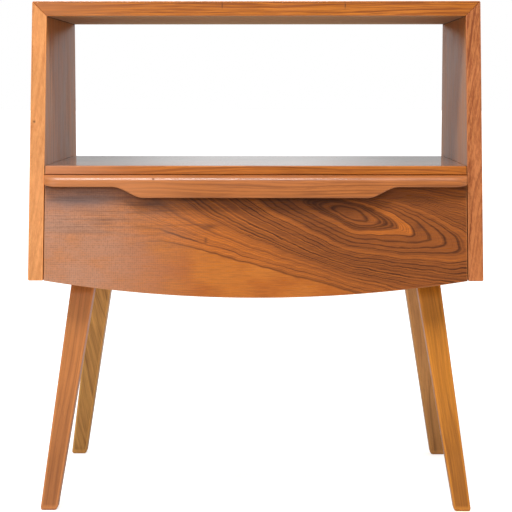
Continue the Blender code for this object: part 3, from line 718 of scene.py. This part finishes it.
def figured_walnut():
    """Figured walnut: growth rings as the level lines of one field, darkest round the eye.

    The first ten rings follow EYE_RINGS and the rest a one-dimensional noise of the count. Under
    the arch and at the left end the wood is plain, and close under the pull it is darkened by a
    painted shadow of the pull. Pin knots and smoky smudges are soft dark ellipses; a grey one at the
    upper left is a painted reflection. Towards the left a painted glare, standing in for the lamps'
    reflection in the lacquer, lies over faint lines along the grain, and a cloth has left the marks
    of its threads: two sines, crossed.
    """
    made, tree, shader = open_finish("figured walnut")
    place = node(tree, "TexCoord")["Object"]
    x, z, height, field = figured_field(tree, place)

    def lines(per_ring, detail):
        return banded(times(field, per_ring), detail)

    patches = noise(stretched(place, 22, 22, 40), 3)
    fibres = noise(stretched(place, 55, 1200, 1200), 2)
    eye = node(tree, "ValToRGB", {"Fac": maths("DIVIDE", field, EYE_COUNT)})[0]
    stops = eye.node.color_ramp.elements
    for i, (count, light) in enumerate(EYE_RINGS):
        stop = stops[i] if i < 2 else stops.new(count / EYE_COUNT)
        stop.position = count / EYE_COUNT
        stop.color = (light, light, light, 1.0)
    eye = times(eye, step(x, 0.075, 0.130, 0.72, 1.0))
    broad = node(tree, "MapRange", {
        "Value": lines(0.55, 2.0), "From Min": 0.35, "From Max": 0.65,
        "To Min": step(x, -0.06, 0.10, 0.88, 0.66),
        "To Max": step(x, -0.06, 0.10, 0.50, 0.36)})[0]
    fine = times(step(lines(2.3, 3.0), 0.52, 0.60), step(patches, 0.25, 0.62, 0.35, 1.0))
    grouped = step(lines(0.9, 1.0), 0.40, 0.56, 0.15, 1.0)
    fine = times(fine, maths("MAXIMUM", grouped, step(x, 0.0, 0.12, 0.0, 0.8)))
    outer = mixed(fine, broad, BLACK)
    outer = plus(outer, step(field, 15.0, 21.0, 0.0, 0.16))
    light = mixed(step(field, 8.6, 9.8), eye, outer)
    hairs = times(step(lines(7.0, 2.0), 0.45, 0.70), 0.34)
    light = mixed(hairs, light, BLACK)
    dark_wood = mixed(step(light, 0.0, 0.5), tone(78, 38, 18), tone(158, 86, 38))
    ringed_wood = mixed(step(light, 0.45, 0.95), dark_wood, tone(222, 124, 46))
    plain = mixed(step(patches, 0.3, 0.7), tone(212, 124, 48), tone(192, 104, 38))
    last = times(step(field, LAST_RING - 0.5, LAST_RING - 0.1),
                 step(field, LAST_RING + 0.1, LAST_RING + 0.4, 1.0, 0.0))
    ringed_wood = mixed(times(last, 0.7), ringed_wood, LATE_WOOD)
    strong = step(maths("ABSOLUTE", minus(field, STRONG_RING)), 0.05, 0.28, 0.75, 0.0)
    strong = times(strong, step(x, 0.12, 0.0))
    ringed_wood = mixed(strong, ringed_wood, LATE_WOOD)
    inside = maths("MAXIMUM", step(field, LAST_RING, LAST_RING + 0.5, 1.0, 0.0),
                   step(height, -0.004, 0.004))
    ringed = times(inside, step(x, -0.175, -0.06))
    drifts = step(noise(stretched(place, 11, 11, 130), 2), 0.50, 0.64, 0.0, 0.6)
    drifts = times(drifts, step(z, 0.285, 0.315))
    plain = mixed(drifts, plain, tone(120, 70, 44))
    colour = mixed(ringed, plain, ringed_wood)
    colour = mixed(times(step(fibres, 0.42, 0.72), 0.26), colour, tone(90, 46, 20))
    colour = mixed(times(step(fibres, 0.58, 0.30), 0.10), colour, tone(236, 150, 80))
    for at_x, at_z, wide, tall, depth in (
            (-0.0545, 0.303, 0.0016, 0.0030, 0.6), (-0.052, 0.318, 0.0100, 0.0030, 0.6),
            (-0.112, 0.343, 0.0160, 0.0050, 0.6), (-0.215, 0.3225, 0.0020, 0.0024, 0.4),
            (0.180, 0.318, 0.0050, 0.0040, 0.4), (-0.155, 0.3172, 0.0400, 0.0010, 0.35),
            (0.052, 0.3500, 0.0300, 0.0050, 0.6), (-0.236, 0.3050, 0.0035, 0.0400, 0.45),
            (-0.130, 0.3330, 0.0300, 0.0014, 0.4), (-0.165, 0.3480, 0.0200, 0.0040, 0.4)):
        smoke = times(soft_spot(tree, at_x, at_z, wide, tall), depth)
        colour = mixed(smoke, colour, tone(74, 44, 34))
    # Painted glare: towards the left the front is tinted pale, standing in for the lamps' reflection in
    # the lacquer.
    painted_light = times(step(x, -0.04, -0.20), step(patches, 0.25, 0.70, 0.28, 0.70))
    colour = mixed(painted_light, colour, tone(206, 156, 128))
    faint = step(noise(stretched(place, 13, 13, 330), 3), 0.52, 0.64, 0.0, 0.42)
    faint = times(faint, step(z, 0.295, 0.330))
    colour = mixed(times(faint, step(x, 0.02, -0.10)), colour, tone(104, 66, 50))
    threads = plus(maths("SINE", times(x, THREADS)), maths("SINE", times(z, THREADS)))
    uneven = noise(stretched(place, 420, 420, 420), 2)
    weave = times(step(threads, -1.6, 1.2), step(uneven, 0.30, 0.65))
    weave = times(weave, step(x, 0.0, -0.16, 0.05, 0.32))
    colour = mixed(weave, colour, tone(110, 70, 50))
    # Painted reflection: a grey patch at the front's upper left.
    painted_grey_reflection = times(soft_spot(tree, -0.195, 0.345, 0.042, 0.010), 0.6)
    colour = mixed(painted_grey_reflection, colour, tone(124, 108, 108))
    # Painted shadow of the pull: the front is darkened close under its lower edge, fading downwards.
    swell = step(maths("ABSOLUTE", x), PULL_INNER, PULL_OUTER, PULL_SWELL, 0.0)
    under = minus(minus(FRONT_TOP - PULL_HEIGHT, swell), z)
    forward = node(tree, "VectorMath", {0: node(tree, "NewGeometry")["True Normal"], 1: (0, -1, 0)},
                   operation="DOT_PRODUCT")["Value"]
    outside = times(step(forward, 0.5, 0.9), step(under, -0.001, 0.0))
    painted_pull_shadow = maths("EXPONENT", maths("DIVIDE", maths("MAXIMUM", under, 0.0), -PULL_SHADOW_REACH))
    colour = mixed(times(times(painted_pull_shadow, outside), 0.8), colour, tone(48, 24, 12))
    # Painted highlight along the front's arrises.
    colour = node(tree, "Group", {"Colour": colour, "Pale": tone(216, 146, 86), "Share": 0.25},
                  node_tree=highlight_group)["Colour"]
    surfaced(tree, shader, colour, step(fibres, 0.3, 0.7, 0.26, 0.36), fibres, 0.5)
    shader["Specular IOR Level"].default_value = LACQUER_GLOSS
    return made


skin("figured_front", *front_rings(), figured_walnut(), "drawer", "figured_walnut", "drawer_front")


# ---- Pull ----------------------------------------------------------------
# A sculpted walnut strip glued and screwed along the top of the drawer front: thin at both ends,
# swelling to a deep middle with a finger groove cut up behind it.
PULL_PROUD = 0.013                  # how far it stands out from the drawer front
PULL_TOP_ROUND = 0.0065
PULL_LOW_ROUND = 0.0018
PULL_RISE = 0.0005                  # how far it stands above the drawer front
PULL_END_RUN = 0.014                # length of the curve at each end
PULL_END_RISE = 0.0035              # how far the lower edge comes up along it
PULL_END_BACK = 0.004               # and how far the face falls back
PULL_LIP = 0.0055                   # thickness in front of the finger groove
LIP_EASE = 0.0008                   # chamfer between the lip and the groove
GROOVE_REACH = PULL_INNER - 0.004   # the groove's end on each side
GROOVE_RUNOUT = 0.010               # length over which it opens
GROOVE_LEAN = 0.0002                # draft of its front wall
GROOVE_SHUT = 0.003                 # the wall laid back where there is no groove
PULL_STEPS = (40, 30, 12, 12)       # places along the middle, the swell, the plain end and its curve
ROUND_STEPS = 7


def smooth(share):
    """An S-curve from 0 to 1, level at both ends: s squared times 3 - 2s."""
    share = np.clip(share, 0, 1)
    return share * share * (3 - 2 * share)


def pull_rings():
    """Sections of the pull in depth and height, one for each place along X.

    The lower edge drops by an S-curve to the deep middle. The last stretch at each end rises and
    falls back on a quarter ellipse. The section goes down the back, round a turned top corner and
    an eased lower one, and up into the groove, which opens on an S-curve at its own two ends.
    """
    marks = (0, PULL_INNER, PULL_OUTER, FRONT_X - PULL_END_RUN)
    half = [np.linspace(*marks[i:i + 2], PULL_STEPS[i])[:-1] for i in range(3)]
    half.append(FRONT_X - PULL_END_RUN * (1 - np.sin(np.linspace(0, math.pi / 2, PULL_STEPS[3]))))
    half = np.concatenate(half)
    x = np.concatenate([-half[:0:-1], half])[:, None]
    swell = smooth((PULL_OUTER - np.abs(x)) / (PULL_OUTER - PULL_INNER))
    into_end = np.clip((np.abs(x) - (FRONT_X - PULL_END_RUN)) / PULL_END_RUN, 0, 1)
    turn = 1 - np.sqrt(1 - into_end ** 2)
    low = FRONT_TOP - PULL_HEIGHT - PULL_SWELL * swell + PULL_END_RISE * turn
    proud = PULL_PROUD - PULL_END_BACK * turn
    opened = smooth((GROOVE_REACH - np.abs(x)) / GROOVE_RUNOUT)
    ceiling = FRONT_TOP - PULL_HEIGHT
    top = FRONT_TOP + PULL_RISE
    flat = np.zeros_like(x)
    out, up, highlit = [flat + JOINT] * 2, [low + (ceiling - low) * opened, flat + top], [0, 0]
    for radius, height, start in ((PULL_TOP_ROUND, top - PULL_TOP_ROUND, math.pi / 2),
                                  (PULL_LOW_ROUND, low + PULL_LOW_ROUND, 0)):
        for angle in start - np.linspace(0, math.pi / 2, ROUND_STEPS):
            out.append(proud - radius + radius * math.cos(angle))
            up.append(height + radius * math.sin(angle) + flat)
            highlit.append(1)
    lip = proud - PULL_LIP
    out += [lip + LIP_EASE, lip, lip - GROOVE_SHUT * (1 - opened) - GROOVE_LEAN]
    up += [low, low + LIP_EASE * opened, low + (ceiling - low) * opened]
    highlit += [0, 1, 0]
    out, up = np.concatenate(out, 1), np.concatenate(up, 1)
    rings = np.stack([np.broadcast_to(x, out.shape), front_y(up) - out, up], -1)
    return rings, np.broadcast_to(np.array(highlit, float), out.shape)


# Towards the left the pull carries a painted glare, standing in for the lamps' reflection in its
# lacquer.
pull_wood = walnut("pull walnut", ACROSS, (192, 114, 56), (128, 70, 34), (84, 42, 22),
                   shift=0.83, bands=330, veining=0.6, contrast=6.0, coat=0.24,
                   painted_end_tint=((222, 144, 88), -0.03, -0.15, 0.6),
                   dents_and_shade_lines=((-0.1120, 0.3702, 0.0012, 0.0008),))
skin("sculpted_pull", *pull_rings(), pull_wood, "drawer", "edge_walnut", "drawer_pull")


# ---- Beech, plywood and steel parts --------------------------------------
# Bearers, runners, stops, dowels and the drawer box are beech; the bottom, the back, the drawer
# bottom and the tongues are beech plywood; the screws are zinc-plated steel. All stay as modelled.
def make_beech_grain():
    """Steamed beech, its fibres along X: even, with short brown flecks drawn out along the grain."""
    tree, given, result = open_group("beech grain", {"Place": "Vector"},
                                     {"Colour": "Color", "Sheen": "Float", "Height": "Float"})
    streaks = noise(stretched(given["Place"], 4, 120, 120), 3)
    flecks = step(noise(stretched(given["Place"], 220, 1100, 1100), 1), 0.60, 0.68)
    colour = mixed(step(streaks, 0.3, 0.7), tone(226, 190, 148), tone(206, 164, 120))
    colour = mixed(times(flecks, 0.5), colour, tone(164, 118, 82))
    tree.links.new(colour, result["Colour"])
    tree.links.new(step(streaks, 0.3, 0.7, 0.50, 0.62), result["Sheen"])
    tree.links.new(flecks, result["Height"])
    return tree


PLY = 0.0013                        # thickness of one ply
RAW_RELIEF = 0.00006                # depth of the grain in unfinished wood


def make_plywood_sheet():
    """Beech plywood: a rotary-cut face with its grain along X, and plies counted along Stack.

    The face is contour lines of a slow noise. On the edges, pale and brown plies alternate by the
    distance along Stack; which of the two shows goes by how squarely the surface faces Stack.
    """
    tree, given, result = open_group("plywood sheet", {"Place": "Vector", "Stack": "Vector"},
                                     {"Colour": "Color", "Sheen": "Float", "Height": "Float"})
    cathedral = noise(stretched(given["Place"], 5, 26, 26), 3)
    waves = maths("FRACT", times(cathedral, 9.0))
    fibres = noise(stretched(given["Place"], 20, 700, 700), 2)
    face = mixed(step(waves, 0.0, 1.0), tone(216, 180, 136), tone(198, 156, 110))
    face = mixed(times(step(fibres, 0.5, 0.8), 0.3), face, tone(166, 122, 84))
    depth = node(tree, "VectorMath", {0: node(tree, "TexCoord")["Object"], 1: given["Stack"]},
                 operation="DOT_PRODUCT")["Value"]
    ply = step(maths("PINGPONG", depth, PLY), 0.4 * PLY, 0.6 * PLY)
    edge = mixed(ply, tone(222, 186, 142), tone(176, 128, 88))
    facing = node(tree, "VectorMath", {0: node(tree, "NewGeometry")["True Normal"], 1: given["Stack"]},
                  operation="DOT_PRODUCT")["Value"]
    on_face = step(maths("ABSOLUTE", facing), 0.5, 0.9)
    tree.links.new(mixed(on_face, edge, face), result["Colour"])
    tree.links.new(step(fibres, 0.3, 0.7, 0.55, 0.68), result["Sheen"])
    tree.links.new(fibres, result["Height"])
    return tree


beech_grain = make_beech_grain()
plywood_sheet = make_plywood_sheet()


def raw_wood(name, group, axis, shift, **more):
    """Unfinished wood from one of the two groups, its grain along axis and moved by shift."""
    made, tree, shader = open_finish(name)
    place = node(tree, "VectorMath", {0: grain_place(tree, axis), 1: (shift,) * 3}, operation="ADD")[0]
    wood = node(tree, "Group", {"Place": place, **more}, node_tree=group)
    surfaced(tree, shader, wood["Colour"], wood["Sheen"], wood["Height"], 0.4, RAW_RELIEF)
    return made


def zinc_steel():
    """Bright zinc plating: a faint straw and blue cast in patches, brushed by the tumbling drum."""
    made, tree, shader = open_finish("zinc steel")
    place = node(tree, "TexCoord")["Object"]
    cast = noise(stretched(place, 400, 400, 400), 2)
    scuffs = noise(stretched(place, 2500, 2500, 2500), 2)
    tree.links.new(mixed(step(cast, 0.35, 0.65), tone(205, 208, 212), tone(212, 206, 186)),
                   shader["Base Color"])
    tree.links.new(step(scuffs, 0.3, 0.7, 0.24, 0.42), shader["Roughness"])
    shader["Metallic"].default_value = 1.0
    return made


def dress(finish, *names):
    """Gives kept nodes a finish through their own material slots."""
    for name in names:
        for holder in bpy.data.objects[name].material_slots:
            holder.material = finish


SIDES = ("left", "right")
PLACES = [f"{end}_{side}" for end in ("front", "rear") for side in SIDES]
dress(raw_wood("beech bearer", beech_grain, ACROSS, 0.2), "bearer_front", "bearer_rear")
dress(raw_wood("beech rail", beech_grain, BACK, 0.5),
      *(f"{stem}_{side}" for stem in ("runner", "drawer_side", "drawer_stop") for side in SIDES))
dress(raw_wood("beech back", beech_grain, ACROSS, 0.8), "drawer_back")
dress(raw_wood("beech dowel across", beech_grain, ACROSS, 0.1),
      *(f"{stem}_{place}" for stem in ("shelf_dowel", "bottom_dowel") for place in PLACES))
dress(raw_wood("beech dowel upright", beech_grain, UP, 0.3),
      *(f"leg_dowel_{place}" for place in PLACES))
dress(raw_wood("beech dowel level", beech_grain, BACK, 0.4),
      *(f"drawer_front_dowel_{level}_{side}" for level in ("high", "low") for side in SIDES))
dress(raw_wood("plywood bottom", plywood_sheet, ACROSS, 0.1, Stack=UP), "bottom_panel", "drawer_bottom")
dress(raw_wood("plywood back", plywood_sheet, ACROSS, 0.4, Stack=BACK), "back_panel")
dress(raw_wood("plywood tongue", plywood_sheet, BACK, 0.7, Stack=(math.sqrt(0.5), 0, math.sqrt(0.5))),
      *(f"mitre_tongue_{side}" for side in SIDES))
dress(zinc_steel(), *(f"{stem}_{place}" for stem in ("leg_screw", "bearer_screw", "runner_screw")
                      for place in PLACES), "pull_screw_left", "pull_screw_right")


# ---- Studio --------------------------------------------------------------
# A wide white floor under a white sweep of light, brightest behind the table. The main soft lamp
# hangs high in front, a low one on the left gives the lacquer its sheen, a weak one fills the right.
FLOOR_HALF = 30.0                   # half the floor's width
BAND_X = -0.014                     # middle of the bright band behind the table
LOOK_DOWN, LOOK_LEFT = 5.755, 0.713  # the camera's angles in degrees


def studio_floor():
    """A level square under the feet, in mottled white paper that looks brighter further out."""
    mesh = bpy.data.meshes.new("studio_floor")
    low = cad_box[0].z
    corners = oblong(-FLOOR_HALF, -FLOOR_HALF, FLOOR_HALF, FLOOR_HALF)
    mesh.from_pydata([(x, y, low) for x, y in corners], [], [(0, 1, 2, 3)])
    made, tree, shader = open_finish("studio paper")
    spots = noise(stretched(node(tree, "TexCoord")["Object"], 3, 3, 3), 2)
    tree.links.new(mixed(spots, tone(228, 228, 228), tone(234, 234, 234)), shader["Base Color"])
    shader["Roughness"].default_value = 0.9
    shader["Specular IOR Level"].default_value = 0.1
    shader["Emission Color"].default_value = (1, 1, 1, 1)
    out = node(tree, "VectorMath", {0: node(tree, "TexCoord")["Object"]}, operation="LENGTH")["Value"]
    seen = node(tree, "LightPath")["Is Camera Ray"]
    tree.links.new(times(step(out, 0.6, 4.0, 0.72, 1.0), seen), shader["Emission Strength"])
    mesh.materials.append(made)
    floor = bpy.data.objects.new("studio_floor", mesh)
    bpy.context.scene.collection.objects.link(floor)


def lamp(name, place, aim, size, watts):
    """A square soft lamp at place, turned towards aim."""
    light = bpy.data.lights.new(name, "AREA")
    light.shape = "SQUARE"
    light.size = size
    light.energy = watts
    made = bpy.data.objects.new(name, light)
    made.location = place
    made.rotation_euler = (Vector(aim) - Vector(place)).to_track_quat("-Z", "Y").to_euler()
    bpy.context.scene.collection.objects.link(made)


def studio_light():
    """The surroundings: white to look at, but they light the table mostly from behind and above,
    and most of all from a narrow upright band straight behind it."""
    world = bpy.data.worlds.new("studio")
    bpy.context.scene.world = world
    world.use_nodes = True
    tree = world.node_tree
    tree.nodes.clear()
    x, y, z = node(tree, "SeparateXYZ", {0: node(tree, "TexCoord")["Generated"]})
    behind = step(y, -0.5, 0.4)
    beside = maths("ABSOLUTE", minus(x, BAND_X))
    middle = step(beside, 0.02, 0.10, 0.65, 0.38)
    above = step(z, 0.2, 0.9, 0.0, 0.3)
    glow = plus(times(behind, middle), plus(above, 0.08))
    seen = node(tree, "LightPath")["Is Camera Ray"]
    strength = maths("MAXIMUM", glow, seen)
    shine = node(tree, "Background", {"Color": (1, 1, 1, 1), "Strength": strength})[0]
    out = tree.nodes.new("ShaderNodeOutputWorld")
    tree.links.new(shine, out.inputs["Surface"])


studio_floor()
studio_light()
lamp("high softbox", (-0.40, -1.8, 3.55), (0, -0.1, 0.35), 1.2, 96)
lamp("left softbox", (-0.85, -2.15, 1.0), (0, -0.1, 0.35), 0.6, 4)
lamp("right softbox", (1.9, -1.7, 1.1), (0, 0, 0.3), 1.4, 4)

camera = bpy.data.objects.new("camera", bpy.data.cameras.new("camera"))
camera.data.sensor_width = 36
camera.data.lens = 119.06
camera.location = (0.0238, -2.0052, 0.4725)
camera.rotation_euler = (math.radians(90 - LOOK_DOWN), 0, math.radians(LOOK_LEFT))
bpy.context.scene.collection.objects.link(camera)
bpy.context.scene.camera = camera
bpy.context.scene.view_settings.view_transform = "Standard"
